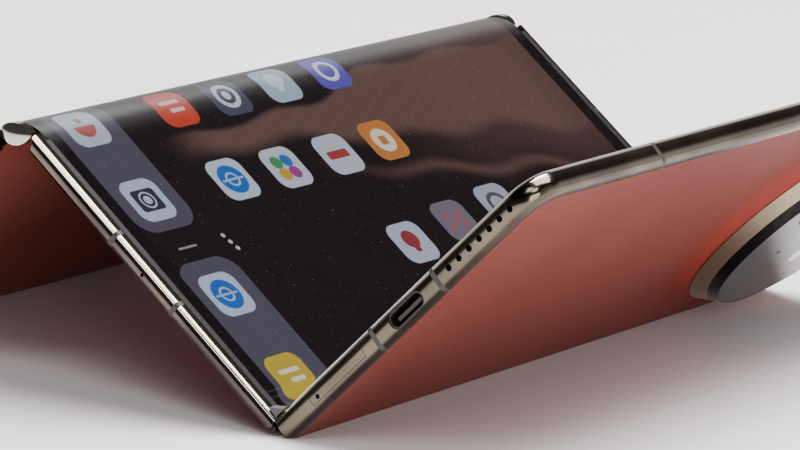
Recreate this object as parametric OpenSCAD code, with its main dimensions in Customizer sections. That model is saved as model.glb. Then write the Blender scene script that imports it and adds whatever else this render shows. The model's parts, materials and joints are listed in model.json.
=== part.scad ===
/* [Panels] */
// Length of every panel along the folds
body_l = 156.7; // [150:0.1:165]
// Width of the middle panel, from the outer fold to the centre of the inner fold
mid_w = 71.3; // [66:0.1:76]
// Width of the camera panel from the centre of the inner fold
cam_w = 72.9; // [70:0.1:78]
// Width of the left panel from the outer fold
left_w = 70.9; // [66:0.1:76]
// Thickness of the left and middle panels
thin_t = 3.55; // [3.5:0.01:3.6]
// Thickness of the camera panel
cam_t = 4.9; // [4.75:0.01:5.4]
// Plan radius of the free corners
corner_r = 6.5; // [5:0.1:9]
// Width of the metal rail round each panel
rail_w = 1.7; // [1.5:0.1:2]
// Edge radius of the rail on the display side
rail_top_r = 0.9; // [0.4:0.1:1]
// Edge radius of the rail on the back side
rail_low_r = 1.2; // [0.6:0.1:1.4]
// Thickness of the leather back covers
back_t = 0.6; // [0.5:0.05:0.7]

/* [Display] */
// Thickness of the display over the rigid panels
disp_t = 0.9; // [0.7:0.05:0.95]
// Thickness of the display sheet where it bends
sheet_t = 0.35; // [0.25:0.05:0.4]
// Width of the soft bezel strip between rail and display
bezel_w = 1.3; // [1:0.1:1.8]
// Height of the bezel strip above the display
bezel_lip = 0.14; // [0.05:0.01:0.15]
// Thickness of the plate that carries the display
plate_t = 0.4; // [0.3:0.05:0.5]

/* [Outer fold] */
// Spacing of the fold lines in the outer fold
link_p = 3.05; // [3.03:0.01:3.15]
// Depth of the link bars below the display surface
link_d = 1.35; // [1.2:0.05:1.4]
// Half width of the end caps
cap_half = 3.8; // [3.4:0.1:4]
// Depth of the end cap's tips below the display surface
cap_mid = 1.8; // [1.6:0.1:2]
// Height of the end caps from crest to keel
cap_h = 4.2; // [3.8:0.1:4.4]
// Length of each end cap along the fold
cap_l = 2.2; // [1.6:0.1:2.6]
// Height of the end cap above the display
cap_rise = 0.4; // [0:0.1:0.5]
// Dome of the end cap's outer face, radius
cap_dome = 7; // [6:0.5:12]

/* [Inner fold] */
// Distance of each hinge pin from the centre of the inner fold
pin_x = 1.5; // [1.45:0.01:1.6]
// Depth of the hinge pins below the display surface
pin_z = 1.3; // [1.25:0.01:1.35]
// Radius of the hinge pins
pin_r = 0.42; // [0.35:0.01:0.45]
// Radial running clearance of the pins
pin_clear = 0.05; // [0.03:0.01:0.08]
// Outer radius of the hinge barrels
barrel_r = 0.8; // [0.75:0.01:0.85]
// Radius of a thin panel's back corner at the inner fold
fold_low_r = 2.2; // [1.2:0.1:2.4]
// Radius of the camera panel's back corner at the inner fold
fold_cam_r = 2; // [1.2:0.1:2.4]
// Reach of the free display sheet on each side of the inner fold
fold_reach = 7; // [6.5:0.1:8]

/* [Pose in the photograph] */
// Slope of the middle panel below the level
mid_slope = 39.5; // [32:0.5:46]
// Slope of the camera panel above the level
cam_slope = 43; // [36:0.5:50]

/* [Camera] */
// Distance of the camera ring's centre from the inner fold
ring_u = 36.8; // [35:0.1:39]
// Distance of the camera ring's centre from the upper edge
ring_in = 29.5; // [29.2:0.1:32]
// Radius of the camera ring at its rim
ring_r = 24.6; // [22:0.1:25]
// Widening of the camera ring towards its foot
ring_flare = 2.2; // [0.4:0.1:2.4]
// Height of the ring's rim above the back of the panel
ring_h = 4.5; // [3.6:0.1:4.8]
// Width of the black bevel inside the rim
trim_w = 1.2; // [0.9:0.1:2]
// Height of the black bevel above the rim
trim_h = 1.7; // [0.4:0.1:1.8]
// Radius of the main lens window
main_r = 6.8; // [6:0.1:7]
// Radius of the wide and tele lens windows
small_r = 5.2; // [4.6:0.1:5.4]
// Rise of the leather where it meets the ring
swell_h = 2; // [0.6:0.1:2.2]
// Width of the swell round the ring
swell_w = 6; // [4:0.5:7]

/* [Lower edge] */
// Width of the charging socket
usb_w = 9; // [8.9:0.05:9.2]
// Height of the charging socket
usb_h = 3.1; // [3:0.05:3.2]
// Depth of the charging socket
usb_d = 7.2; // [6.5:0.1:8]
// Distance between the card tray and the antenna seam beside it
tray_in = 3.2; // [2.8:0.1:4]
// Width of the card tray
tray_w = 15.2; // [14.5:0.1:15.6]
// Height of the card tray
tray_h = 1.5; // [1.3:0.1:1.6]
// Depth of the card tray in the panel
tray_d = 21; // [18:0.5:24]
// Radius of the ejector hole
eject_r = 0.45; // [0.4:0.01:0.5]
// Number of loudspeaker holes
horn_n = 7; // [5:1:8]
// Spacing of the loudspeaker holes
horn_p = 2.83; // [2.6:0.01:2.9]
// Radius of the loudspeaker holes
horn_r = 0.6; // [0.4:0.05:0.8]
// Distance of the last loudspeaker hole from the free edge
horn_in = 6.7; // [6.2:0.1:7.5]
// Width of the antenna seams
seam_w = 1; // [0.7:0.1:1.4]
// Distance of the antenna seams from the middle of the short edges
seam_off = 8.8; // [8:0.1:9.4]
// Distance of the antenna seams in the long edges from the corners
seam_in = 38.4; // [36:0.1:40]

/* [Keys] */
// Length of the power key
power_l = 12; // [10:0.5:13]
// Length of the volume key
volume_l = 20; // [16:0.5:21]
// Width of the keys across the rail
key_h = 1.9; // [1.7:0.1:2.1]
// Height of the keys above the rail
key_out = 0.35; // [0.3:0.01:0.5]
// Travel of the keys
key_travel = 0.2; // [0.15:0.01:0.25]
// Gap round keys and tray
key_gap = 0.1; // [0.08:0.01:0.15]

/* [Hidden] */
$fn = 48;
hl = body_l / 2;
seat = 0.05;
end_gap = 0.1;
joint_gap = 0.3;
in_w = rail_w + bezel_w;
// turn of the inner fold on each side of its spine
wing_a = (mid_slope + cam_slope) / 2;
function turn(a, v) = [v[0] * cos(a) + v[1] * sin(a), v[1] * cos(a) - v[0] * sin(a)];
function link_a_of(g) = (mid_slope + g) / 4;
function tilt_of(g) = (mid_slope - g) / 2;
function fold1(g) = turn(tilt_of(g), [link_p / 2, 0]) + turn(tilt_of(g) + link_a_of(g), [link_p, 0]);
function pin_mid(g) = fold1(g) + turn(mid_slope, [mid_w - pin_x, -pin_z]);
function pin_cam(g) = pin_mid(g) + turn(mid_slope - wing_a, [2 * pin_x, 0]);
function cam_at(g, v) = pin_cam(g) + turn(-cam_slope, v - [pin_x, -pin_z]);
function cam_low(g) = cam_at(g, [end_gap + rail_low_r, -cam_t + rail_low_r])[1] - rail_low_r;
function left_at(g, v) = turn(tilt_of(g), [-link_p / 2, 0]) + turn(tilt_of(g) - link_a_of(g), [-link_p, 0]) + turn(-g, [-v[0], v[1]]);
function left_low(g) = left_at(g, [left_w - rail_low_r, -thin_t + rail_low_r])[1] - rail_low_r;
// slope at which the left panel's free edge reaches the level of the inner fold
function settle(lo, hi, n) = let(m = (lo + hi) / 2) n == 0 ? m : left_low(m) > cam_low(m) ? settle(m, hi, n - 1) : settle(lo, m, n - 1);
left_slope = settle(5, 80, 40);
link_turn = link_a_of(left_slope);
spine_tilt = tilt_of(left_slope);
x_low = left_at(left_slope, [left_w - rail_top_r, -rail_top_r])[0] - rail_top_r;
x_high = cam_at(left_slope, [cam_w - rail_low_r, -cam_t + rail_low_r])[0] + rail_low_r;
base_x = -(x_low + x_high) / 2;
base_z = -cam_low(left_slope);
cap_ru = (cap_half * cap_half + cap_mid * cap_mid) / (2 * cap_mid);
cap_drop = cap_h - cap_mid;
cap_rl = (cap_half * cap_half + cap_drop * cap_drop) / (2 * cap_drop);
apothem = link_p / 2 / tan(22.5);
disp_x0 = link_p / 2;
fold_l = body_l - 2 * cap_l - 0.8;
ring_y = hl - ring_in;
board_y = ring_y - 20;
usb_u = cam_w / 2 + 0.5;
mic_u = mid_w / 2 - 1.6;
tray_u = usb_u - seam_off - seam_w / 2 - tray_in - tray_w;
horn_u = cam_w - horn_in - (horn_n - 1) * horn_p;
usb_z = -disp_t - 0.05 - usb_h / 2;
tray_z = -cam_t / 2 - 0.15;
key_z = -cam_t / 2;
volume_y = hl - seam_in + seam_w / 2 + 2 + volume_l / 2;
power_y = hl - seam_in - seam_w / 2 - 6 - power_l / 2;
plate_low = -disp_t - plate_t;
pocket_z = -2.05;
knuckle_in = 20.35;
knuckles = [for (i = [-2:2]) i * (hl - knuckle_in) / 2];

module at_outer() { translate([base_x, 0, base_z]) rotate([0, spine_tilt, 0]) children(); }
module at_link_a() { at_outer() translate([link_p / 2, 0, 0]) rotate([0, link_turn, 0]) translate([link_p / 2, 0, 0]) children(); }
module at_link_b() { at_outer() translate([-link_p / 2, 0, 0]) rotate([0, -link_turn, 0]) translate([-link_p / 2, 0, 0]) children(); }
module at_mid() { at_link_a() translate([link_p / 2, 0, 0]) rotate([0, link_turn, 0]) children(); }
module at_left() { at_link_b() translate([-link_p / 2, 0, 0]) rotate([0, -link_turn, 0]) mirror([1, 0, 0]) children(); }
module at_mid_fold() { at_mid() translate([mid_w, 0, 0]) mirror([1, 0, 0]) children(); }
module at_inner() { at_mid() translate([mid_w - pin_x, 0, -pin_z]) rotate([0, -wing_a, 0]) translate([pin_x, 0, pin_z]) children(); }
module at_cam() { at_inner() translate([pin_x, 0, -pin_z]) rotate([0, -wing_a, 0]) translate([-pin_x, 0, pin_z]) children(); }
module along(l) { rotate([90, 0, 0]) linear_extrude(l, center = true) children(); }

// room that the end caps take when the outer fold is closed
cap_room_x = cap_h - cap_rise - cap_rl - apothem + link_p / 2;
module cap_room() {
  for (s = [0, 1]) mirror([0, s, 0]) translate([cap_room_x, -hl + cap_l / 2, -apothem]) rotate([90, 0, 0]) cylinder(r = cap_rl + joint_gap, h = cap_l + 2 * joint_gap, center = true);
}

// section of the rail: outer face on the line x = 0
module rail2d(t) {
  intersection() {
    translate([-rail_w, -t]) square([rail_w, t]);
    union() {
      translate([-rail_w, -t + rail_low_r]) square([rail_w, t - rail_top_r - rail_low_r]);
      translate([-rail_w, -t]) square([rail_w - rail_low_r, t]);
      translate([-rail_w, -t + rail_low_r]) square([rail_w - rail_top_r, t - rail_low_r]);
      translate([-rail_low_r, -t + rail_low_r]) circle(rail_low_r);
      translate([-rail_top_r, -rail_top_r]) circle(rail_top_r);
    }
  }
}
// plan of a panel's inside, round at the free corners
module plan2d(x0, w, inset) {
  r = corner_r - inset;
  y = hl - inset;
  translate([x0, -y]) square([w - inset - r - x0, 2 * y]);
  translate([x0, -y + r]) square([w - inset - x0, 2 * (y - r)]);
  for (s = [-1, 1]) translate([w - inset - r, s * (y - r)]) circle(r);
}
module slab(z0, z1) { translate([0, 0, z0]) linear_extrude(z1 - z0) children(); }
module end_rails(x0, x1, t) {
  for (s = [0, 1]) mirror([0, s, 0]) translate([x0, hl, 0]) rotate([90, 0, 90]) linear_extrude(x1 - x0) rail2d(t);
}
module free_rails(w, t) {
  translate([w, 0, 0]) along(body_l - 2 * corner_r) rail2d(t);
  for (s = [0, 1]) mirror([0, s, 0]) translate([w - corner_r, hl - corner_r, 0]) rotate_extrude(angle = 90) translate([corner_r, 0]) rail2d(t);
}
// outline of a panel's end at the inner fold: round about the pin above it, upright below it
module inner_end2d(w, t, low_r) {
  r = min(low_r, t - pin_z - 0.05);
  translate([end_gap + r, -t - 1]) square([w, t + 1 - pin_z]);
  translate([pin_x, -pin_z - 0.1]) square([w, t + 2]);
  translate([pin_x, -pin_z]) circle(pin_x - end_gap);
  translate([end_gap, -t + r]) square([r + 1, t - r - pin_z]);
  intersection() {
    translate([end_gap + r, -t + r]) circle(r);
    translate([0, -t - 1]) square([r + 1, t + 1 - pin_z]);
  }
}
// outline of a panel's end at the outer fold: hollowed for the closed end cap
module outer_end2d(w, t) {
  difference() {
    translate([0, -t - 1]) square([w, t + 2]);
    translate([cap_room_x, -apothem]) circle(cap_rl + joint_gap);
    translate([-1, -t - 1]) square([1.6, t + 2]);
  }
}
module seams_at(list, t) {
  for (u = list) for (s = [-1, 1]) translate([u - seam_w / 2, s * (hl - rail_w / 2) - rail_w / 2 - 1, -t - 1]) cube([seam_w, rail_w + 2, t + 2]);
}
mid_seam_u = [mic_u - seam_off, mic_u + seam_off];
cam_seam_u = [usb_u - seam_off, usb_u + seam_off];
side_seam_v = [seam_in, body_l - seam_in];
module side_seams(w, t) {
  for (v = side_seam_v) translate([w - rail_w - 1, v - hl - seam_w / 2, -t - 1]) cube([rail_w + 2, seam_w, t + 2]);
}

module mid_rails() {
  intersection() {
    end_rails(0, mid_w, thin_t);
    along(body_l + 2) outer_end2d(mid_w + 2, thin_t);
    translate([mid_w, 0, 0]) mirror([1, 0, 0]) along(body_l + 2) inner_end2d(mid_w + 2, thin_t, fold_low_r);
  }
}
// bar along a panel's edge beside the outer fold
module outer_bar(t) {
  translate([0.9, 0, -t + back_t]) along(fold_l) square([1.6, t - back_t - link_d - 0.1]);
  translate([disp_x0, 0, -link_d - 0.2]) along(fold_l) square([1.2, link_d + 0.2 - disp_t]);
}
// lip along a panel's edge beside the inner fold, with the floor of the fold's pocket
module arm_room() { for (y = knuckles) translate([0, y - 3.1, -9]) cube([6.5, 6.2, 12]); }
module inner_bar(t) {
  y = hl - rail_w + 0.1;
  difference() {
    translate([3.6, -y, -t + back_t]) cube([fold_reach - 3, 2 * y, t - back_t + pocket_z]);
    arm_room();
  }
  translate([fold_reach - 0.6, -y, -disp_t - plate_t - 1.2]) cube([1.2, 2 * y, plate_t + 1.2]);
}
module mid_plate() { translate([2, -hl + rail_w - 0.1, plate_low]) cube([mid_w - fold_reach - 2, body_l - 2 * rail_w + 0.2, plate_t]); }
module mid_frame() {
  color("tan") at_mid() {
    difference() {
      mid_rails();
      seams_at(mid_seam_u, thin_t);
      translate([mic_u, -hl, -thin_t / 2]) rotate([90, 0, 0]) cylinder(r = 0.35, h = 2, center = true);
      translate([mic_u, hl, -thin_t / 2]) rotate([90, 0, 0]) cylinder(r = 0.35, h = 2, center = true);
    }
    mid_plate();
    outer_bar(thin_t);
    translate([mid_w, 0, 0]) mirror([1, 0, 0]) inner_bar(thin_t);
  }
}
module side_strips(x0, x1) {
  for (s = [0, 1]) mirror([0, s, 0]) translate([x0, hl - in_w, -disp_t]) cube([x1 - x0, bezel_w, disp_t + bezel_lip]);
}
module mid_bezel() { color("dimgray") at_mid() side_strips(2.4, mid_w - pin_x - 0.6); }
module display_middle() {
  color([0.1, 0.08, 0.1]) at_mid() translate([disp_x0, -hl + in_w, -disp_t]) cube([mid_w - fold_reach - disp_x0, body_l - 2 * in_w, disp_t]);
}
module cell(x, w, y, l, t) { translate([x, y - l / 2, -t + back_t]) cube([w, l, t - back_t + plate_low]); }
module mid_battery() { color([0.2, 0.2, 0.22]) at_mid() cell(4.5, mid_w - 16, 0, body_l - 24, thin_t); }
module mid_back() {
  color([0.72, 0.3, 0.26]) at_mid() difference() {
    translate([1, -hl + rail_w, -thin_t]) cube([mid_w - 1.6, body_l - 2 * rail_w, back_t]);
    cap_room();
  }
}
module mid_seams() {
  color("gray") at_mid() difference() {
    intersection() { mid_rails(); seams_at(mid_seam_u, thin_t); }
    mid_plate();
  }
}

module left_rails() {
  intersection() {
    union() { end_rails(0, left_w - corner_r, thin_t); free_rails(left_w, thin_t); }
    along(body_l + 2) outer_end2d(left_w + 2, thin_t);
  }
}
left_seam_u = [left_w / 2 - seam_off, left_w / 2 + seam_off];
module left_plate() { slab(plate_low, -disp_t) plan2d(2, left_w, rail_w - 0.1); }
module left_frame() {
  color("tan") at_left() {
    difference() {
      left_rails();
      seams_at(left_seam_u, thin_t);
      side_seams(left_w, thin_t);
      translate([left_w / 2 - 6, hl - 0.5, -0.75]) cube([12, 1, 0.5]);
    }
    left_plate();
    outer_bar(thin_t);
  }
}
module bezel_u(w, x0) {
  slab(-disp_t, bezel_lip) difference() {
    plan2d(x0, w, rail_w);
    plan2d(x0 - 1, w, in_w);
  }
}
selfie_r = 2;
module selfie_spot() { translate([left_w / 2, hl - in_w - 5, 0]) children(); }
module left_bezel() { color("dimgray") at_left() bezel_u(left_w, 2.4); }
module display_cover() {
  color([0.1, 0.08, 0.1]) at_left() difference() {
    slab(-disp_t, 0) plan2d(disp_x0, left_w, in_w);
    selfie_spot() cylinder(r = selfie_r + seat, h = 4, center = true);
  }
}
module selfie_camera() {
  color([0.05, 0.05, 0.07]) at_left() selfie_spot() difference() {
    translate([0, 0, -disp_t]) cylinder(r = selfie_r, h = disp_t - 0.02);
    translate([0, 0, -0.2]) cylinder(r1 = 0.9, r2 = 1.5, h = 0.3);
  }
}
module earpiece() { color([0.1, 0.1, 0.1]) at_left() translate([left_w / 2 - 5.95, hl - 0.5, -0.725]) cube([11.9, 0.3, 0.45]); }
module left_battery() { color([0.2, 0.2, 0.22]) at_left() cell(4.5, left_w - 12, 0, body_l - 24, thin_t); }
module left_back() {
  color([0.72, 0.3, 0.26]) at_left() difference() {
    slab(-thin_t, -thin_t + back_t) plan2d(1, left_w, rail_w);
    cap_room();
  }
}
module left_seams() {
  color("gray") at_left() difference() {
    intersection() {
      left_rails();
      union() { seams_at(left_seam_u, thin_t); side_seams(left_w, thin_t); }
    }
    left_plate();
  }
}

module cam_rails() {
  intersection() {
    union() { end_rails(0, cam_w - corner_r, cam_t); free_rails(cam_w, cam_t); }
    along(body_l + 2) inner_end2d(cam_w + 2, cam_t, fold_cam_r);
  }
}
module stadium(w, h, l) {
  for (s = [-1, 1]) translate([s * (w - h) / 2, 0, 0]) rotate([90, 0, 0]) cylinder(d = h, h = l, center = true);
  cube([w - h, l, h], center = true);
}
module key_shape(l, h, d) {
  for (s = [-1, 1]) translate([0, s * (l - h) / 2, 0]) rotate([0, 90, 0]) cylinder(d = h, h = d);
  translate([0, -(l - h) / 2, -h / 2]) cube([d, l - h, h]);
}
module key_backing(l, y) { translate([cam_w - rail_w - 1.4, y - l / 2 - 1, key_z - 1.4]) cube([1.5, l + 2, 2.8]); }
module cam_plate() { slab(plate_low, -disp_t) plan2d(fold_reach, cam_w, rail_w - 0.1); }
module cam_frame() {
  color("tan") at_cam() {
    difference() {
      union() {
        difference() { cam_rails(); seams_at(cam_seam_u, cam_t); side_seams(cam_w, cam_t); }
        cam_plate();
        inner_bar(cam_t);
        key_backing(power_l, power_y);
        key_backing(volume_l, volume_y);
      }
      translate([usb_u, -hl + usb_d / 2, usb_z]) stadium(usb_w + 2 * seat, usb_h + 2 * seat, usb_d + 2);
      translate([tray_u - key_gap, -hl - 1, tray_z - tray_h / 2 - key_gap]) cube([tray_w + 2 * key_gap, tray_d + 1.5, tray_h + 2 * key_gap]);
      for (i = [0:horn_n - 1]) translate([horn_u + i * horn_p, -hl + 1, -cam_t / 2 + 0.1]) rotate([90, 0, 0]) cylinder(r = horn_r, h = 4, center = true);
      for (i = [0:3]) translate([horn_u + i * horn_p, hl - 1, -cam_t / 2 + 0.1]) rotate([90, 0, 0]) cylinder(r = horn_r, h = 4, center = true);
      translate([cam_w - 1.2, power_y, key_z]) key_shape(power_l + 2 * key_gap, key_h + 2 * key_gap, 3);
      translate([cam_w - 1.2, volume_y, key_z]) key_shape(volume_l + 2 * key_gap, key_h + 2 * key_gap, 3);
      for (y = [power_y, volume_y - stem_in, volume_y + stem_in]) translate([cam_w - 5, y, key_z]) rotate([0, 90, 0]) cylinder(r = 0.5 + key_gap, h = 5);
    }
  }
}
stem_in = volume_l / 2 - 4;
module key(l, stems, y) {
  at_cam() translate([0, y, key_z]) {
    translate([cam_w - 0.95, 0, 0]) key_shape(l, key_h, 0.95 + key_out);
    for (s = stems) translate([cam_w - 2.6, s, 0]) rotate([0, 90, 0]) cylinder(r = 0.5, h = 2);
  }
}
module power_key() { color("tan") key(power_l, [0], power_y); }
module volume_key() { color("tan") key(volume_l, [-stem_in, stem_in], volume_y); }
module cam_bezel() { color("dimgray") at_cam() bezel_u(cam_w, pin_x + 0.6); }
module display_camera() { color([0.1, 0.08, 0.1]) at_cam() slab(-disp_t, 0) plan2d(fold_reach, cam_w, in_w); }
module cam_battery() { color([0.2, 0.2, 0.22]) at_cam() cell(9, cam_w - 13, (board_y - 2 + tray_d + 4.3 - hl) / 2, board_y + hl - tray_d - 6.3, cam_t); }
module main_board() {
  color("darkgreen") at_cam() translate([9, board_y, plate_low - 0.8]) difference() {
    cube([cam_w - 13, hl - rail_w - board_y - 0.3, 0.8]);
    for (c = lenses) translate([c[0] - 9, c[1] + ring_y - board_y, -1]) cylinder(r = c[2] + 0.2, h = 3);
  }
}
// lens windows: distance from the fold, offset from the ring's centre, radius
lenses = [[ring_u, 11.5, main_r], [ring_u + 13.4, 3.6, small_r + 0.3], [ring_u + 9.4, -9.6, small_r]];
module cam_back() {
  color([0.72, 0.3, 0.26]) at_cam() difference() {
    union() {
      slab(-cam_t, -cam_t + back_t) plan2d(0.9, cam_w, rail_w);
      intersection() {
        translate([ring_u, ring_y, -cam_t]) mirror([0, 0, 1]) rotate_extrude() difference() {
          translate([0, -0.1]) square([ring_r + ring_flare + swell_w, swell_h + 0.1]);
          translate([ring_r + ring_flare + swell_w, swell_r]) circle(swell_r, $fn = 96);
          translate([ring_r + ring_flare + swell_w, -1]) square([1, 3]);
        }
        slab(-cam_t - 3, -cam_t + 0.3) plan2d(0.9, cam_w, rail_w);
      }
    }
    translate([ring_u, ring_y, -cam_t]) cylinder(r = ring_r + ring_flare + seat, h = 9, center = true);
  }
}
swell_r = (swell_w * swell_w + swell_h * swell_h) / (2 * swell_h);
module cam_seams() {
  color("gray") at_cam() difference() {
    intersection() {
      cam_rails();
      union() { seams_at(cam_seam_u, cam_t); side_seams(cam_w, cam_t); }
    }
    cam_plate();
  }
}
module at_ring() { at_cam() translate([ring_u, ring_y, -cam_t]) mirror([0, 0, 1]) children(); }
module camera_ring() {
  color("tan") at_ring() difference() {
    rotate_extrude() {
      difference() {
        polygon([[0, -back_t], [ring_r + ring_flare, -back_t], [ring_r + ring_flare, swell_h + 0.2], [ring_r + 0.25, ring_h - 0.3], [ring_r, ring_h], [0, ring_h]]);
        translate([0, ring_h - 1]) square([ring_r - 0.35, 3]);
      }
    }
    for (c = lenses) translate([c[0] - ring_u, c[1], -2]) cylinder(r = c[2] + 0.2, h = 9);
    translate([-5, -8, ring_h - 2.4]) cylinder(r = 0.5, h = 3);
    translate([-9, 4, ring_h - 2.4]) cylinder(r = 2.2, h = 3);
  }
}
module camera_trim() {
  color([0.1, 0.08, 0.09]) at_ring() rotate_extrude() polygon([[ring_r - 0.4 - trim_w, ring_h - 1], [ring_r - 0.4, ring_h - 1],
    [ring_r - 0.4, ring_h + 0.05], [ring_r - 0.4 - trim_w, ring_h + trim_h]]);
}
module camera_glass() {
  color([0.4, 0.38, 0.4]) at_ring() difference() {
    translate([0, 0, ring_h - 1]) cylinder(r = ring_r - 0.45 - trim_w, h = 1 + trim_h - 0.05, $fn = 96);
    for (c = lenses) translate([c[0] - ring_u, c[1], 0]) cylinder(r = c[2] + seat, h = 9);
    translate([-5, -8, ring_h - 2.4]) cylinder(r = 0.5, h = 3 + trim_h);
    translate([-9, 4, ring_h - 2.4]) cylinder(r = 2.2, h = 3 + trim_h);
  }
}
module lens(i) {
  c = lenses[i];
  at_ring() translate([c[0] - ring_u, c[1], 0]) difference() {
    translate([0, 0, -cam_t - plate_low]) cylinder(r = c[2], h = cam_t + plate_low + ring_h + trim_h - 0.02 + 0.3);
    translate([0, 0, ring_h + trim_h - 0.2]) cylinder(r = c[2] - 0.8, h = 2);
    translate([0, 0, ring_h - 1.2]) cylinder(r1 = c[2] * 0.35, r2 = c[2] - 1.4, h = 1.4 + trim_h);
    translate([0, 0, ring_h - 3.5]) cylinder(r = c[2] * 0.3, h = 3);
  }
}
module main_camera() { color([0.08, 0.08, 0.1]) lens(0); }
module wide_camera() { color([0.08, 0.08, 0.1]) lens(1); }
module tele_camera() { color([0.08, 0.08, 0.1]) lens(2); }
module flash_led() {
  color([0.95, 0.9, 0.7]) at_ring() translate([-9, 4, ring_h - 2.35]) cylinder(r = 2.15, h = 2.3 + trim_h);
}
module usb_c_port() {
  color("silver") at_cam() translate([usb_u, -hl + 0.2, usb_z]) {
    difference() {
      translate([0, usb_d / 2, 0]) stadium(usb_w, usb_h, usb_d);
      translate([0, usb_d / 2 - 0.9, 0]) stadium(usb_w - 0.6, usb_h - 0.6, usb_d);
    }
    translate([-3.3, 1, -0.35]) cube([6.6, usb_d - 1.5, 0.7]);
  }
}
module loudspeaker() {
  color([0.12, 0.12, 0.12]) at_cam() translate([horn_u - 1.5, -hl + rail_w + 0.05, -cam_t + back_t]) cube([horn_n * horn_p - 1.5, 15, cam_t - back_t + plate_low]);
}
module sim_tray() {
  color("tan") at_cam() difference() {
    translate([tray_u, -hl, tray_z - tray_h / 2]) union() {
      cube([tray_w, 1.5, tray_h]);
      translate([0.6, 0, 0.15]) cube([tray_w - 1.2, tray_d, tray_h - 0.3]);
    }
    translate([tray_u + 1.8, -hl + tray_d / 2, tray_z]) rotate([90, 0, 0]) cylinder(r = eject_r, h = tray_d + 2, center = true);
    translate([tray_u + 3.4, -hl + 4, tray_z - 0.2]) cube([8.9, 12.4, 2]);
  }
}

// hinge arms of one panel: barrels about the pin with straps into the panel
module arms(t) {
  difference() {
    union() {
      for (y = knuckles) {
        translate([pin_x, y, -pin_z]) rotate([90, 0, 0]) cylinder(r = barrel_r, h = 6, center = true);
        translate([pin_x, y - 3, -pin_z - barrel_r]) cube([2.5, 6, 0.45]);
        translate([3.4, y - 3, -thin_t + back_t]) cube([3, 6, thin_t - back_t - pin_z - barrel_r + 0.45]);
      }
    }
    for (y = knuckles) translate([pin_x, y, -pin_z]) rotate([90, 0, 0]) cylinder(r = pin_r + pin_clear, h = 8, center = true);
  }
}
module mid_hinge_arms() { color("silver") at_mid_fold() arms(thin_t); }
module cam_hinge_arms() { color("silver") at_cam() arms(cam_t); }
// spine of the inner fold: shallow cover with bored blocks between the barrels
cover_z = -2.75;
cover_w = 2.35;
// dark wedge that shows between the two panels at each end of the fold
module spine_end() {
  translate([0, -hl + 0.9, 0]) along(1.4) polygon([[-0.28, -2.6], [-0.06, -2.6], [-0.06, -3.5], [-1.45, -3.5]]);
  translate([-0.28, -hl + 1.5, -2.9]) cube([0.22, rail_w - 0.8, 0.45]);
}
module inner_spine() {
  color([0.16, 0.13, 0.14]) at_inner() {
    difference() {
      union() {
        along(body_l - 2 * rail_w - 0.6) polygon([[-cover_w, cover_z + 0.4], [-cover_w, cover_z + 0.35], [0.5 - cover_w, cover_z], [cover_w - 0.5, cover_z], [cover_w, cover_z + 0.35], [cover_w, cover_z + 0.4]]);
        for (y = knuckles) for (s = [-1, 1]) translate([-2.1, y + s * 5.15 - 1.75, cover_z + 0.1]) cube([4.2, 3.5, -cover_z - pin_z + 0.4]);
        for (s = [0, 1]) mirror([0, s, 0]) spine_end();
      }
      for (s = [-1, 1]) for (y = knuckles) translate([s * pin_x, y, -pin_z]) rotate([90, 0, 0]) cylinder(r = pin_r, h = 20, center = true);
    }
  }
}
module hinge_pins() {
  color("silver") at_inner() for (s = [-1, 1]) for (y = knuckles) translate([s * pin_x, y, -pin_z]) rotate([90, 0, 0]) cylinder(r = pin_r, h = 13.8, center = true);
}
// soft end seal that fills the notch between the two panels
notch_z = pin_z * (cos(wing_a) - 1) - (pin_x - pin_z * sin(wing_a)) * tan(wing_a);
seal_z = [-pin_z, notch_z + 0.1 * tan(wing_a) + 0.1, notch_z + 1.3 * tan(wing_a) + 0.2, notch_z + 1.3 * tan(wing_a) + 0.6];
module seal() {
  half = [[0.06, seal_z[0]], [0.1, seal_z[1]], [1.3, seal_z[2]], [1.3, seal_z[3]]];
  translate([0, -hl + 1.3, 0]) along(1.8) polygon(concat(half, [for (i = [3:-1:0]) [-half[i][0], half[i][1]]]));
}
module near_seal() { color("gray") at_inner() seal(); }
module far_seal() { color("gray") at_inner() mirror([0, 1, 0]) seal(); }
// display sheet in the inner fold: an arc between two reverse arcs that run tangent to the panels
bend_a = 55;
bend_r = 4;
bend_end = [pin_x, -pin_z] + turn(-wing_a, [fold_reach - pin_x, pin_z]);
back_r = (bend_end[0] - bend_r * sin(bend_a)) / (sin(bend_a) - sin(wing_a));
bend_z = bend_end[1] - bend_r * (1 - cos(bend_a)) - back_r * (cos(wing_a) - cos(bend_a));
function bend_pt(k, d) = let(a = k < 1 ? bend_a * k : bend_a - (bend_a - wing_a) * (k - 1),
  c = k < 1 ? [0, bend_z + bend_r] : [(bend_r + back_r) * sin(bend_a), bend_z + bend_r - (bend_r + back_r) * cos(bend_a)],
  r = k < 1 ? bend_r + d : -(back_r - d)) c + r * [sin(a), -cos(a)];
module inner_bend() {
  n = 16;
  top = [for (i = [0:n]) bend_pt(2 * i / n, 0)];
  low = [for (i = [n:-1:0]) bend_pt(2 * i / n, sheet_t)];
  color([0.1, 0.08, 0.1]) at_inner() along(body_l - 2 * in_w)
    polygon(concat(top, low, [for (i = [n - 1:-1:0]) [-low[i][0], low[i][1]]], [for (i = [n:-1:1]) [-top[i][0], top[i][1]]]));
}

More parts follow.
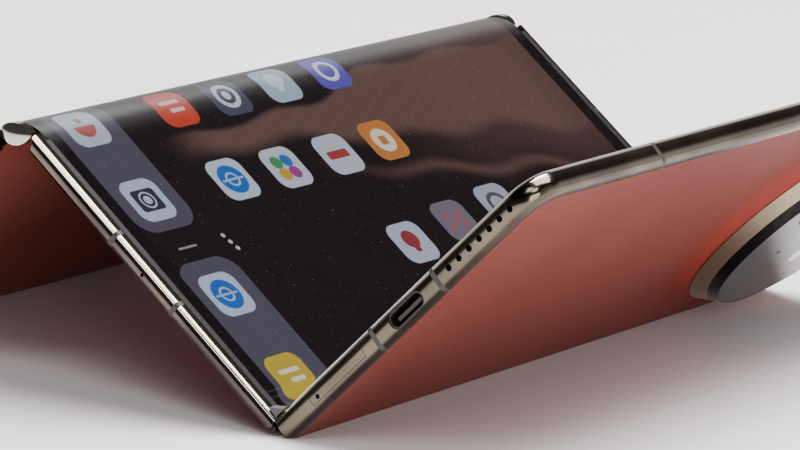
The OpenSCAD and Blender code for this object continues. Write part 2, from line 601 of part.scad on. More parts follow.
// links of the outer fold, narrower below so that they close like staves
module stave2d(d0, d1) {
  polygon([for (v = [[-1, d0], [1, d0], [1, d1], [-1, d1]]) [v[0] * (link_p / 2 - v[1] * tan(22.5) - 0.06), -v[1]]]);
}
link_top = sheet_t + 0.3;
module link_a() { color("dimgray") at_link_a() along(fold_l) stave2d(link_top, link_d); }
module link_b() { color("dimgray") at_link_b() along(fold_l) stave2d(link_top, link_d); }
module outer_spine() {
  color("dimgray") at_outer() {
    along(fold_l) stave2d(link_top, link_d);
    along(body_l - 2 * cap_l) polygon([[-0.7, -link_d + 0.1], [0.7, -link_d + 0.1], [1.7, -2.5], [1.4, -2.7], [-1.4, -2.7], [-1.7, -2.5]]);
  }
}
module cap2d(r = 0) {
  intersection() {
    translate([0, cap_rise - cap_ru]) circle(cap_ru - r, $fn = 96);
    translate([0, cap_rise + cap_rl - cap_h]) circle(cap_rl - r, $fn = 96);
  }
}
module end_cap() {
  intersection() {
    translate([0, -hl + cap_l / 2, 0]) along(cap_l) cap2d();
    translate([0, cap_dome - hl, cap_rise - cap_mid]) sphere(cap_dome, $fn = 96);
  }
}
module near_end_cap() { color("silver") at_outer() end_cap(); }
module far_end_cap() { color("silver") at_outer() mirror([0, 1, 0]) end_cap(); }
// display sheet round the outer fold, tangent to both panels
wrap_r = link_p / 2 / tan(link_turn / 2);
wrap_far = 2 * wrap_r * [sin(2 * link_turn), cos(2 * link_turn)];
module outer_bend() {
  color([0.1, 0.08, 0.1]) at_outer() translate([0, 0, -wrap_r]) along(fold_l) difference() {
    circle(wrap_r, $fn = 180);
    circle(wrap_r - sheet_t, $fn = 180);
    polygon([[0, 0], wrap_far, [3 * wrap_r, -3 * wrap_r], [-3 * wrap_r, -3 * wrap_r], [-wrap_far[0], wrap_far[1]]]);
  }
}

mid_frame();
mid_bezel();
display_middle();
mid_battery();
mid_back();
mid_seams();
mid_hinge_arms();
left_frame();
left_bezel();
display_cover();
left_battery();
left_back();
left_seams();
selfie_camera();
earpiece();
cam_frame();
cam_bezel();
display_camera();
cam_battery();
main_board();
cam_back();
cam_seams();
usb_c_port();
loudspeaker();
camera_ring();
camera_trim();
camera_glass();
main_camera();
wide_camera();
tele_camera();
flash_led();
cam_hinge_arms();
link_a();
link_b();
outer_spine();
near_end_cap();
far_end_cap();
outer_bend();
inner_spine();
hinge_pins();
near_seal();
far_seal();
inner_bend();
power_key();
volume_key();
sim_tray();
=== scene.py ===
import json
import math
import bpy
import bmesh
from mathutils import Vector
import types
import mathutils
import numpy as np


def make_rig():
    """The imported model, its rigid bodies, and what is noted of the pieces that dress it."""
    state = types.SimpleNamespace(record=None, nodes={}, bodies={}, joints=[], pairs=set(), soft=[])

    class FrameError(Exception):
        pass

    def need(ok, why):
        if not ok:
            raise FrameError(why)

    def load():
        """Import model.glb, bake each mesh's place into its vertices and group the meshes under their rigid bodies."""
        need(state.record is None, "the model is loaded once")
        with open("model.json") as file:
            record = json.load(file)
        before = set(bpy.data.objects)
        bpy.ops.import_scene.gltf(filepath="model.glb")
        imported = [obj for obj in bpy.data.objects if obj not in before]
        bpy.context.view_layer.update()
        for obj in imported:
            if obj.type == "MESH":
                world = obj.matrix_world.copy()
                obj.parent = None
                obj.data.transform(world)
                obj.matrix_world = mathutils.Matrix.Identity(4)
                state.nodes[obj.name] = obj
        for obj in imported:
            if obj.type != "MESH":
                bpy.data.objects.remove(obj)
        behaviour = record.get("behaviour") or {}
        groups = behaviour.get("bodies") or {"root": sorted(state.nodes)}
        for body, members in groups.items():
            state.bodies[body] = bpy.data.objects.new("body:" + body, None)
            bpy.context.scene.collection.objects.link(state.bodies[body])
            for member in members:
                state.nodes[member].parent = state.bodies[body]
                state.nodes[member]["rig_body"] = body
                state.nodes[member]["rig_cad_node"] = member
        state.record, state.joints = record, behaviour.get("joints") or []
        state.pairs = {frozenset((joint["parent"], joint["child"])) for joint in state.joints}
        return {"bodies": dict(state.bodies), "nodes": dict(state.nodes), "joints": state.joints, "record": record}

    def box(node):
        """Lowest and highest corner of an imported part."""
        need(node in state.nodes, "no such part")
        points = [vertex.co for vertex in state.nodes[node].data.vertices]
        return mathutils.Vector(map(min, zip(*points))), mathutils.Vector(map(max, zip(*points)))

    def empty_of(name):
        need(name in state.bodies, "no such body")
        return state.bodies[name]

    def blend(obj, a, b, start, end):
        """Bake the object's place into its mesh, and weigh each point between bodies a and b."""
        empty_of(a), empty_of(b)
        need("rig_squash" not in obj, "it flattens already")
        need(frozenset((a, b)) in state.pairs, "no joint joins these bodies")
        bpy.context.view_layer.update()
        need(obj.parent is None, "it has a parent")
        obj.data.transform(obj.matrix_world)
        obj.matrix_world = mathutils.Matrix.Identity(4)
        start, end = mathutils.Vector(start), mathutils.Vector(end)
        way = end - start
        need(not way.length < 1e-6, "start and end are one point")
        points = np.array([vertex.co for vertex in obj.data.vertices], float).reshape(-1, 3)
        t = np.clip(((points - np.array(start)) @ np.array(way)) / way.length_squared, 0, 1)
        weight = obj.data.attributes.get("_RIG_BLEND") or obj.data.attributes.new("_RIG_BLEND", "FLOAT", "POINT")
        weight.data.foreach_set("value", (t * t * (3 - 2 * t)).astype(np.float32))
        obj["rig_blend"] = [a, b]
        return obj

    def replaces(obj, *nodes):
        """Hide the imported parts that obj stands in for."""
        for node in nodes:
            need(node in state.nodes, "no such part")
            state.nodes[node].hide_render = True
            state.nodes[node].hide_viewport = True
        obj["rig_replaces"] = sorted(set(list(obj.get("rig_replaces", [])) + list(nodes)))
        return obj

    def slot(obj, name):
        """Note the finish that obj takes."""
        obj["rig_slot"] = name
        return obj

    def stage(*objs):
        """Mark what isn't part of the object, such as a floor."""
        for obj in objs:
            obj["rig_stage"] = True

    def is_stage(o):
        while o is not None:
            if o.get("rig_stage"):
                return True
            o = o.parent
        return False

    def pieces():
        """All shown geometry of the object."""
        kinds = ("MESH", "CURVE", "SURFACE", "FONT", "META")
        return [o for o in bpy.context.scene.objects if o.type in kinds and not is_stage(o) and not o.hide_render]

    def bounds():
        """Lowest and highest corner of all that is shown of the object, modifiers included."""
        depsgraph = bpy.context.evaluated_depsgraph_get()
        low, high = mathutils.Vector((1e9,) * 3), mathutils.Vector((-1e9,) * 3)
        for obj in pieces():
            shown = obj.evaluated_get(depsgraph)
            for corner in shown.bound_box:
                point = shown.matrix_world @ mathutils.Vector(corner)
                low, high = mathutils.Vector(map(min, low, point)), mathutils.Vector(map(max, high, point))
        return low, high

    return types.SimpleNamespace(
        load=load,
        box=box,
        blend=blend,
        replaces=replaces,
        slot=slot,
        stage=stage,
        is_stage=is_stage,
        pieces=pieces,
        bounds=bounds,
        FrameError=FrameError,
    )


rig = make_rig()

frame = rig.load()
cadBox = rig.bounds()
nodes = frame["nodes"]
mm = 0.001

# places on the standing phone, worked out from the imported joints; lengths are in mm unless noted
folds = [j for j in frame["joints"] if j["type"] == "hinge"]
jointAt = {j["name"]: Vector(j["pos_m"]) for j in folds}
jointRange = {j["name"]: j["range_deg"] for j in folds}
backMount = [m for m in frame["record"]["mounts"] if m["name"] == "middle_back"][0]
phoneLook = dict(pinX=1.5, pinZ=1.3,                   # an inner pin: off the middle, under the display
                 thin=3.55, thick=4.9,                 # the two thin panels, and the one with the camera
                 leftWidth=70.9, camWidth=72.9,        # from a fold to the panel's free edge
                 rim=3.0)                              # rail and bezel together


class Place:                                   # a panel's own directions: across it, and out of its display
    def __init__(self, origin, slope, side=1):
        a = math.radians(slope)
        self.across = Vector((side * math.cos(a), 0, -math.sin(a)))
        self.out = Vector((side * math.sin(a), 0, math.cos(a)))
        self.origin = origin

    def at(self, u, y, h=0.0):                 # u across, y along the folds, h out of the display
        return self.origin + (self.across * u + Vector((0, 1, 0)) * y + self.out * h) * mm


midSlope = math.degrees(math.atan2(-backMount["axis"][0], -backMount["axis"][2]))
linkTurn = -jointRange["outer_fold"][0]
wingTurn = -jointRange["inner_fold"][0]
outerTilt = midSlope - 2 * linkTurn
leftSlope = 2 * linkTurn - outerTilt
camSlope = 2 * wingTurn - midSlope
linkP = (jointAt["outer_fold_3"] - jointAt["outer_fold_2"]).length / mm
pinX, pinZ = phoneLook["pinX"], phoneLook["pinZ"]
midPlace = Place(jointAt["outer_fold"], midSlope)
leftPlace = Place(jointAt["outer_fold_4"], leftSlope, -1)
outerPlace = Place((jointAt["outer_fold_2"] + jointAt["outer_fold_3"]) / 2, outerTilt)
spinePlace = Place(jointAt["inner_fold"], midSlope - wingTurn)
spinePlace.origin = spinePlace.at(pinX, 0, pinZ)
camPlace = Place(jointAt["inner_fold_2"], -camSlope)
camPlace.origin = camPlace.at(-pinX, 0, pinZ)
midWidth = ((jointAt["inner_fold"] - midPlace.origin).dot(midPlace.across)) / mm + pinX
sheetMid = 1.5 * linkP                         # display sheet from the ridge to where the middle panel begins
sheetCam = sheetMid + midWidth                 # and on to the middle of the inner fold
print("places: middle", round(midSlope, 2), "left", round(leftSlope, 2), "camera", round(camSlope, 2),
      "width", round(midWidth, 2))


class Wire:                                    # one socket of a material, with plain maths on it
    def __init__(self, tree, socket):
        self.tree, self.socket = tree, socket

    def math(self, operation, *others):
        return addNode(self.tree, "ShaderNodeMath", dict(operation=operation),
                       dict(enumerate((self,) + others)))

    def __add__(self, other):
        return self.math("ADD", other)

    def __sub__(self, other):
        return self.math("SUBTRACT", other)

    def __rsub__(self, other):
        return addNode(self.tree, "ShaderNodeMath", dict(operation="SUBTRACT"), {0: other, 1: self})

    def __mul__(self, other):
        return self.math("MULTIPLY", other)

    def __pow__(self, other):
        return self.math("POWER", other)

    def __neg__(self):
        return self.math("MULTIPLY", -1.0)

    def __abs__(self):
        return self.math("ABSOLUTE")

    __radd__ = __add__
    __rmul__ = __mul__

    def most(self, other):
        return self.math("MAXIMUM", other)

    def sine(self):
        return self.math("SINE")

    def ramp(self, low, high, fromValue=0.0, toValue=1.0):      # a smooth step between two values
        return addNode(self.tree, "ShaderNodeMapRange", dict(interpolation_type="SMOOTHSTEP", clamp=True),
                       {"Value": self, "From Min": low, "From Max": high,
                        "To Min": fromValue, "To Max": toValue})


def addNode(tree, kind, settings=None, inputs=None, output=0):
    node = tree.nodes.new(kind)
    for name, value in (settings or {}).items():
        setattr(node, name, value)
    for name, value in (inputs or {}).items():
        socket = node.inputs[name]
        if isinstance(value, Wire):
            tree.links.new(value.socket, socket)
        elif socket.type == "RGBA":
            socket.default_value = (*value[:3], 1)
        else:
            socket.default_value = value
    return Wire(tree, node.outputs[output])


def mixColour(amount, first, second):
    tree = next(v.tree for v in (amount, first, second) if isinstance(v, Wire))
    return addNode(tree, "ShaderNodeMix", dict(data_type="RGBA"), {0: amount, 6: first, 7: second}, 2)


def srgb(r, g, b):                             # a colour as a picture shows it, 0 to 255
    return tuple(((v / 255 + 0.055) / 1.055) ** 2.4 if v > 10 else v / 255 / 12.92 for v in (r, g, b))


def newMaterial(name):
    mat = bpy.data.materials.new(name)
    mat.use_nodes = True
    mat.node_tree.nodes.clear()
    return mat, mat.node_tree


def finishMaterial(mat, tree, shaderInputs, bump=None, bumpStrength=1.0, bumpDistance=0.001):
    inputs = dict(shaderInputs)
    if bump is not None:
        inputs["Normal"] = addNode(tree, "ShaderNodeBump", None,
                                   {"Height": bump, "Strength": bumpStrength, "Distance": bumpDistance})
    shader = addNode(tree, "ShaderNodeBsdfPrincipled", None, inputs)
    out = tree.nodes.new("ShaderNodeOutputMaterial")
    tree.links.new(shader.socket, out.inputs["Surface"])
    return mat


def objectPoint(tree):
    return addNode(tree, "ShaderNodeTexCoord", None, None, "Object")


def stretched(point, scale):
    return addNode(point.tree, "ShaderNodeMapping", None, {"Vector": point, "Scale": scale})


def noise(point, scale, detail=2.0, rough=0.5, output=0):
    return addNode(point.tree, "ShaderNodeTexNoise", None,
                   {"Vector": point, "Scale": scale, "Detail": detail, "Roughness": rough}, output)


def mixVector(a, b, amount):                   # shifts a by some of the noise colour b
    shift = addNode(a.tree, "ShaderNodeVectorMath", dict(operation="SUBTRACT"), {0: b, 1: (0.5, 0.5, 0.5)})
    shift = addNode(a.tree, "ShaderNodeVectorMath", dict(operation="SCALE"), {0: shift, "Scale": amount})
    return addNode(a.tree, "ShaderNodeVectorMath", dict(operation="ADD"), {0: a, 1: shift})


def alongAxis(point, axis, offset=0.0):        # how far a point lies along a direction
    dot = addNode(point.tree, "ShaderNodeVectorMath", dict(operation="DOT_PRODUCT"),
                  {0: point, 1: tuple(axis)}, 1)
    return dot - offset


def fromPlace(point, place, way):              # the same in mm, from a panel's origin
    return alongAxis(point, way / mm, place.origin.dot(way) / mm)


def alongFolds(point):
    return alongAxis(point, (0, 1 / mm, 0))


def paintNode(name, mat):
    thing = nodes[name]
    thing.data.materials.clear()
    thing.data.materials.append(mat)
    for poly in thing.data.polygons:
        poly.material_index = 0


# polished: depths below the display's surface; the two heights after low are above the underside, where painted shade
# darkens the rail
metalLook = dict(colour=srgb(196, 186, 168), dull=srgb(98, 90, 78), shaded=srgb(80, 70, 65),
                 low=srgb(64, 57, 48), cloud=srgb(160, 146, 126), speck=srgb(110, 98, 84),
                 # joint, with the depth and half width after it: a painted dark reflection line on the rail's rounded
                 # top
                 joint=srgb(18, 14, 13), darkLineDepth=0.2, darkLineHalf=0.045,
                 polished=(0.85, 1.1), paintedShadeFrom=1.3, paintedShadeTo=0.6,
                 brush=(4000, 260, 4000), cloudScale=60, speckScale=2500,
                 roughFace=0.16, roughEdge=0.1, roughSpread=0.05, bulge=0.55)


def champagneMetal(name, place, thickness, dull):
    look = metalLook
    mat, tree = newMaterial(name)
    point = objectPoint(tree)
    brushed = noise(stretched(point, look["brush"]), 1.0, 3, 0.6)
    broad = noise(point, look["cloudScale"])
    specks = noise(point, look["speckScale"])
    depth = -fromPlace(point, place, place.out)
    edge = depth.ramp(*look["polished"], 1.0, 0.0)
    bulge = ((depth - thickness / 2) * (math.pi / thickness) + math.pi / 2).sine()
    bulge = bulge * (look["bulge"] * thickness / math.pi)       # the rail's round section, as a bump
    rough = look["roughFace"] + (look["roughEdge"] - look["roughFace"]) * edge
    rough = rough + (brushed - 0.5) * look["roughSpread"] + (broad - 0.5) * look["roughSpread"]
    colour = mixColour(edge, dull, look["colour"])
    # painted shade: darker towards the underside, where the rounding faces down
    low = depth.ramp(thickness - look["paintedShadeFrom"], thickness - look["paintedShadeTo"])
    colour = mixColour(low * 0.8, colour, look["low"])
    colour = mixColour((broad - 0.5).ramp(-0.1, 0.25) * 0.35, colour, look["cloud"])
    colour = mixColour(specks.ramp(0.66, 0.72) * 0.3, colour, look["speck"])
    joint = (abs(depth - look["darkLineDepth"]) - look["darkLineHalf"]).ramp(-0.02, 0.02, 1.0, 0.0)
    colour = mixColour(joint * 0.85, colour, look["joint"])     # painted reflection: a thin dark line on the rail's rounded top, standing in for a dark reflection band
    return finishMaterial(mat, tree, {"Base Color": colour, "Metallic": 1.0, "Roughness": rough},
                          bulge + brushed * 0.001)


polishLook = dict(smearScale=220, scratch=(900, 9000, 900), scratchDepth=0.0005, worn=0.8, roughSpread=0.08)


def polishedMetal(name, colour, rough=0.09, lift=0.0):      # lift: how far the face is crowned, as a slope
    look = polishLook
    mat, tree = newMaterial(name)
    point = objectPoint(tree)
    smear = noise(point, look["smearScale"], 3)
    scratch = noise(stretched(point, look["scratch"]), 1.0)
    shade = mixColour(smear * 0.5, colour, tuple(c * look["worn"] for c in colour))
    return finishMaterial(mat, tree, {"Base Color": shade, "Metallic": 1.0,
                                      "Roughness": rough + (smear - 0.5) * look["roughSpread"]},
                          alongAxis(point, (0, 0, -lift / mm)) + scratch * look["scratchDepth"])


darkLook = dict(colour=srgb(46, 41, 43), worn=srgb(84, 76, 74), grainScale=5000, wornScale=140, metallic=0.8,
                rough=0.38, roughSpread=0.2, bump=(0.15, 0.00002))


def darkMetal(name, colour=darkLook["colour"], rough=darkLook["rough"]):
    look = darkLook
    mat, tree = newMaterial(name)
    point = objectPoint(tree)
    grain = noise(point, look["grainScale"])
    worn = noise(point, look["wornScale"], 4, 0.65)
    shade = mixColour(worn.ramp(0.5, 0.75) * 0.4, colour, look["worn"])
    return finishMaterial(mat, tree, {"Base Color": shade, "Metallic": look["metallic"],
                                      "Roughness": rough + (worn - 0.5) * look["roughSpread"]},
                          grain, *look["bump"])


# the red lies where the leather climbs round the camera ring; grain and wander are in metres
leatherLook = dict(base=srgb(124, 57, 48), deep=srgb(90, 35, 29), light=srgb(131, 69, 59),
                   red=srgb(168, 52, 38), redNear=25, redFar=36, redShare=0.45,
                   grain=0.00042, wander=0.0006, wanderScale=900, poreScale=5200,
                   crease=(1, 0.35, 1), creaseScale=420, cloudScale=30,
                   rough=0.5, poreRough=0.2, cloudRough=0.12, specular=0.15, bump=(0.32, 0.00005))


def coralLeather(name, place, ringU=None, ringY=None):
    look = leatherLook
    mat, tree = newMaterial(name)
    point = objectPoint(tree)
    wandered = mixVector(point, noise(point, look["wanderScale"], 3, output=1), look["wander"])
    cells = addNode(tree, "ShaderNodeTexVoronoi", dict(feature="DISTANCE_TO_EDGE"),
                    {"Vector": wandered, "Scale": 1 / look["grain"]})
    pores = noise(point, look["poreScale"], 3, 0.6)
    creases = noise(stretched(point, look["crease"]), look["creaseScale"], 4, 0.6)
    cloud = noise(point, look["cloudScale"], 3)
    colour = mixColour(cloud.ramp(0.3, 0.75), look["base"], look["light"])
    colour = mixColour((1 - cells.ramp(0.0, 0.28)) * 0.38, colour, look["deep"])
    colour = mixColour(pores.ramp(0.58, 0.78) * 0.3, colour, look["deep"])
    height = cells.ramp(0.0, 0.35) * 0.7 + pores * 0.35 + creases * 0.5
    rough = look["rough"] + (pores - 0.5) * look["poreRough"] + (cloud - 0.5) * look["cloudRough"]
    if ringU is not None:
        u = fromPlace(point, place, place.across) - ringU
        v = alongFolds(point) - ringY
        near = ((u * u + v * v) ** 0.5).ramp(look["redNear"], look["redFar"], 1.0, 0.0)
        colour = mixColour(near * look["redShare"], colour, look["red"])
    return finishMaterial(mat, tree, {"Base Color": colour, "Roughness": rough,
                                      "Specular IOR Level": look["specular"]}, height, *look["bump"])


# the lit picture lies on sheet lengths from the ridge (u) and places along the folds (v)
screenLook = dict(night=srgb(13, 5, 10), ink=srgb(24, 12, 17), dusk=srgb(98, 72, 66), glow=srgb(120, 88, 78),
                  glass=srgb(10, 8, 10), dust=srgb(120, 116, 118), strength=0.9, halfLength=75.35,
                  endBorder=3.2, sideBorder=2.6, edge=0.06, tile=9.9, corner=2.6, tileReach=8,
                  haze=0.3, hazeStart=3.0, hazeEnd=12.0, rough=0.07, smearRough=0.07,
                  coat=0.35, coatRough=0.04, ior=1.5)
# the pale slope lies between an upper and a lower line; each entry is a ramp's own values
slopeLook = dict(upper=(-8.0, 26.0, 12.6, 6.6), upperEdge=(-0.9, 0.9),
                 lower=(-30.0, 34.0, 18.6, 27.0), lowerDrop=(40.0, 76.0, 0.0, 6.0),
                 lowerEdge=(-3.0, 1.6, 1.0, 0.0), fadeIn=(-50.0, -34.0), fadeOut=(60.0, 74.0, 1.0, 0.55),
                 ribbonGap=8.0, ribbonHalf=1.0, ribbonEdge=(-1.4, 1.8, 1.0, 0.0),
                 ribbonIn=(-18.0, 20.0), ribbonOut=(52.0, 74.0, 1.0, 0.0))
barLook = dict(spots=((15.4, -64.0, 16.6, 8.2), (58.4, -64.4, 18.6, 8.2)), corner=4.5,
               colour=srgb(104, 104, 124))
dotLook = dict(u=36.0, v=-53.6, stepU=1.7, stepV=0.5, count=3, radius=0.5, colour=srgb(196, 190, 196),
               line=(36.5, -64.5, 0.22, 2.6, 0.2), lineColour=srgb(150, 146, 154))
petalLook = dict(out=1.5, radius=1.5, gold=srgb(190, 156, 50), green=srgb(60, 140, 84),
                 plum=srgb(150, 60, 130))
iconRows = [                                   # u, v, tile colour, glyph colour, glyph
    (5.6, -64.6, (176, 188, 206), (172, 62, 66), "bowl"),
    (24.6, -64.3, (176, 188, 208), (40, 48, 64), "lens"),
    (5.8, -38.6, (196, 62, 38), (232, 190, 180), "bars"),
    (6.0, -22.4, (66, 72, 92), (196, 206, 220), "cog"),
    (5.7, -6.4, (158, 178, 198), (206, 216, 226), "drop"),
    (5.4, 10.0, (84, 78, 176), (214, 214, 236), "ring"),
    (24.7, -39.2, (182, 196, 216), (24, 100, 186), "globe"),
    (25.0, -23.2, (184, 192, 208), (40, 104, 178), "petals"),
    (25.0, -6.7, (180, 190, 204), (158, 56, 62), "card"),
    (24.4, 8.7, (190, 120, 56), (226, 212, 196), "play"),
    (48.3, -7.4, (172, 182, 198), (140, 50, 58), "drop"),
    (46.2, 9.1, (112, 104, 118), (160, 84, 92), "folder"),
    (45.1, 24.9, (160, 168, 184), (78, 82, 94), "ring"),
    (48.2, -64.7, (178, 192, 212), (24, 100, 186), "globe"),
    (68.1, -65.6, (192, 166, 52), (226, 222, 204), "bars")]


def boxMask(u, v, cu, cv, halfU, halfV, corner, soft=0.12):
    a = (abs(u - cu) - (halfU - corner)).most(0.0)
    b = (abs(v - cv) - (halfV - corner)).most(0.0)
    return ((a * a + b * b) ** 0.5 - corner).ramp(-soft, soft, 1.0, 0.0)


def diskMask(u, v, cu, cv, radius, soft=0.12):
    a, b = u - cu, v - cv
    return ((a * a + b * b) ** 0.5 - radius).ramp(-soft, soft, 1.0, 0.0)


def ringMask(u, v, cu, cv, radius, half, soft=0.12):
    a, b = u - cu, v - cv
    return (abs((a * a + b * b) ** 0.5 - radius) - half).ramp(-soft, soft, 1.0, 0.0)


def glyphMask(kind, u, v, cu, cv):
    def box(du, dv, halfU, halfV, corner):
        return boxMask(u, v, cu + du, cv + dv, halfU, halfV, corner)

    def disks(radius, *spots):
        marks = [diskMask(u, v, cu + du, cv + dv, radius) for du, dv in spots]
        for mark in marks[1:]:
            marks[0] = marks[0].most(mark)
        return marks[0]

    def ring(radius, half):
        return ringMask(u, v, cu, cv, radius, half)

    if kind == "globe":
        return disks(3.5, (0, 0)) * (1 - ring(1.5, 0.22).most(box(0, 0, 0.2, 3.0, 0.1)))
    if kind == "lens":
        return ring(1.3, 0.3).most(box(0, 0, 2.6, 3.2, 0.8) * (1 - disks(2.0, (0, 0))))
    if kind == "cog":
        return ring(2.7, 0.55).most(disks(1.1, (0, 0)))
    if kind == "bars":
        return box(-1.2, 0, 0.5, 2.8, 0.4).most(box(0.9, 0.7, 0.5, 2.0, 0.4))
    if kind == "petals":
        a = petalLook["out"]
        return disks(petalLook["radius"], (a, a), (-a, a), (a, -a), (-a, -a))
    if kind == "play":
        return disks(3.0, (0, 0)) * (1 - box(0, 0, 1.1, 1.1, 0.3))
    if kind == "card":
        return box(0, 0, 1.0, 3.1, 0.5)
    if kind == "bowl":
        return (disks(2.8, (0, 0)) * box(1.7, 0, 1.7, 3.2, 0.1)).most(disks(0.8, (-1.6, 0)))
    if kind == "folder":
        return disks(0.8, (0, 0), (1.3, 2.2), (-1.3, 2.2), (1.3, -2.2), (-1.3, -2.2))
    if kind == "drop":
        return disks(2.2, (-0.8, 0)).most(box(1.2, 0, 1.2, 0.8, 0.5))
    return ring(2.5, 0.5)


def paleSlope(u, v):
    look, slope = screenLook, slopeLook
    point = addNode(u.tree, "ShaderNodeCombineXYZ", None, {0: u * 0.01, 1: v * 0.01, 2: 0.3})
    drift = noise(point, 1.4, 2, 0.4)
    fine = noise(point, 26, 3, 0.6)
    wave = (v * 0.21 + 1.0).sine() * 1.1 + (drift - 0.5) * 5.0
    upper = v.ramp(*slope["upper"]) + wave * 0.8
    lower = v.ramp(*slope["lower"]) + v.ramp(*slope["lowerDrop"]) + wave
    dune = (u - upper).ramp(*slope["upperEdge"]) * (u - lower).ramp(*slope["lowerEdge"])
    dune = dune * v.ramp(*slope["fadeIn"]) * v.ramp(*slope["fadeOut"])
    ribbon = abs(u - lower - slope["ribbonGap"] - v * 0.05) - slope["ribbonHalf"]
    ribbon = ribbon.ramp(*slope["ribbonEdge"]) * v.ramp(*slope["ribbonIn"]) * v.ramp(*slope["ribbonOut"])
    strands = (abs((u * 0.8 + v * 0.35 + drift * 9.0).sine()) - 0.05).ramp(0.0, 0.1, 1.0, 0.0) * dune
    below = v.ramp(0.0, 60.0) * (u - lower).ramp(0.0, 16.0, 0.5, 0.0)
    colour = mixColour(fine.ramp(0.3, 0.75) * 0.5, look["night"], look["ink"])
    colour = mixColour(below, colour, look["dusk"])
    colour = mixColour(dune * (0.78 + drift * 0.35), colour, look["dusk"])
    return mixColour(strands * 0.3 + ribbon * 0.45, colour, look["glow"])


def screenPicture(u, v, lo, hi):               # lo, hi: the sheet lengths that this surface shows
    look = screenLook
    colour = paleSlope(u, v)
    for cu, cv, halfU, halfV in barLook["spots"]:
        if cu + halfU > lo and cu - halfU < hi:
            bar = boxMask(u, v, cu, cv, halfU, halfV, barLook["corner"])
            colour = mixColour(bar * 0.5, colour, barLook["colour"])
    half = look["tile"] / 2
    for cu, cv, tile, glyph, kind in iconRows:
        if cu + look["tileReach"] < lo or cu - look["tileReach"] > hi:
            continue
        colour = mixColour(boxMask(u, v, cu, cv, half, half, look["corner"]), colour, srgb(*tile))
        colour = mixColour(glyphMask(kind, u, v, cu, cv), colour, srgb(*glyph))
        if kind == "petals":                   # one petal keeps the glyph's colour
            a = petalLook["out"]
            for du, dv, shade in ((a, -a, "gold"), (-a, -a, "green"), (a, a, "plum")):
                petal = diskMask(u, v, cu + du, cv + dv, petalLook["radius"])
                colour = mixColour(petal, colour, petalLook[shade])
    if lo < dotLook["u"] < hi:
        for k in range(dotLook["count"]):
            dotU, dotV = dotLook["u"] + dotLook["stepU"] * k, dotLook["v"] + dotLook["stepV"] * k
            colour = mixColour(diskMask(u, v, dotU, dotV, dotLook["radius"]), colour, dotLook["colour"])
        colour = mixColour(boxMask(u, v, *dotLook["line"]), colour, dotLook["lineColour"])
    return colour


sheetLook = dict(thick=0.35, ridgeHalf=75.75, valleyHalf=75.35, ridgeSteps=16, valleySteps=24,
                 valleyReach=7.0,              # free sheet on each side of the inner fold
                 uvSpan=100.0,                 # mm of sheet to one unit of its UV map
                 sharp=0.6,                    # edges turned further than this, in radians, stay crisp
                 rounds=30)                    # of settling in valleyBend


def screenMaterial(name, place=None, start=0.0, side=1, lo=-100.0, hi=200.0, ends=()):
    look = screenLook
    mat, tree = newMaterial(name)
    point = objectPoint(tree)
    if place is None:                          # a bent sheet carries its lengths in its UV map
        uv = addNode(tree, "ShaderNodeUVMap", dict(uv_map="sheet"))
        parts = [addNode(tree, "ShaderNodeSeparateXYZ", None, {0: uv}, i) for i in (0, 1)]
        u, v = [part * sheetLook["uvSpan"] for part in parts]
    else:
        u = fromPlace(point, place, place.across) * side + start
        v = alongFolds(point)
    lit = (abs(v) - (look["halfLength"] - look["endBorder"])).ramp(-look["edge"], look["edge"], 1.0, 0.0)
    for end, sign in ends:
        lit = lit * ((u - end) * sign).ramp(-look["edge"], look["edge"])
    picture = screenPicture(u, v, lo, hi)
    smear = noise(point, 45, 4, 0.6)
    dust = noise(point, 2600, 1)
    haze = abs(u).ramp(look["hazeStart"], look["hazeEnd"], 1.0, 0.0)    # duller where it is always bent
    rough = look["rough"] + smear.ramp(0.45, 0.8) * look["smearRough"] + haze * look["haze"]
    return finishMaterial(mat, tree, {
        "Base Color": mixColour(dust.ramp(0.74, 0.8) * 0.5, look["glass"], look["dust"]), "Roughness": rough,
        "Emission Color": mixColour(lit, (0, 0, 0), picture), "Emission Strength": look["strength"],
        "Coat Weight": look["coat"] * (1 - haze), "Coat Roughness": look["coatRough"], "IOR": look["ior"]})


bezelLook = dict(colour=srgb(14, 12, 13), light=srgb(28, 25, 26), grainScale=3500, rough=0.3,
                 bump=(0.1, 0.00002))


def softBezel(name):
    look = bezelLook
    mat, tree = newMaterial(name)
    grain = noise(objectPoint(tree), look["grainScale"])
    colour = mixColour(grain.ramp(0.4, 0.7) * 0.5, look["colour"], look["light"])
    return finishMaterial(mat, tree, {"Base Color": colour, "Roughness": look["rough"] + grain * 0.15},
                          grain, *look["bump"])


plasticLook = dict(grainScale=3000, cloudScale=90, shade=0.72, roughSpread=0.12, bump=(0.12, 0.00002))


def plainPlastic(name, colour, rough):
    look = plasticLook
    mat, tree = newMaterial(name)
    point = objectPoint(tree)
    grain = noise(point, look["grainScale"], 3)
    cloud = noise(point, look["cloudScale"])
    shade = mixColour(cloud.ramp(0.3, 0.7), colour, tuple(c * look["shade"] for c in colour))
    return finishMaterial(mat, tree, {"Base Color": shade,
                                      "Roughness": rough + (grain - 0.5) * look["roughSpread"]},
                          grain, *look["bump"])


glassLook = dict(colour=srgb(30, 28, 30), light=srgb(40, 37, 39), smearScale=70, rough=0.12, coat=0.3,
                 coatRough=0.05, specular=0.35)


def greyGlass(name):
    look = glassLook
    mat, tree = newMaterial(name)
    smear = noise(objectPoint(tree), look["smearScale"], 3, 0.6)
    colour = mixColour(smear.ramp(0.35, 0.7), look["colour"], look["light"])
    return finishMaterial(mat, tree, {"Base Color": colour, "Roughness": look["rough"] + smear * 0.06,
                                      "Coat Weight": look["coat"], "Coat Roughness": look["coatRough"],
                                      "Specular IOR Level": look["specular"]})


lensLook = dict(blue=srgb(10, 14, 34), plum=srgb(34, 18, 44), dust=srgb(90, 90, 100), bloomScale=160,
                dustScale=3000, rough=0.03, metallic=0.25, coatRough=0.01, ior=1.6)


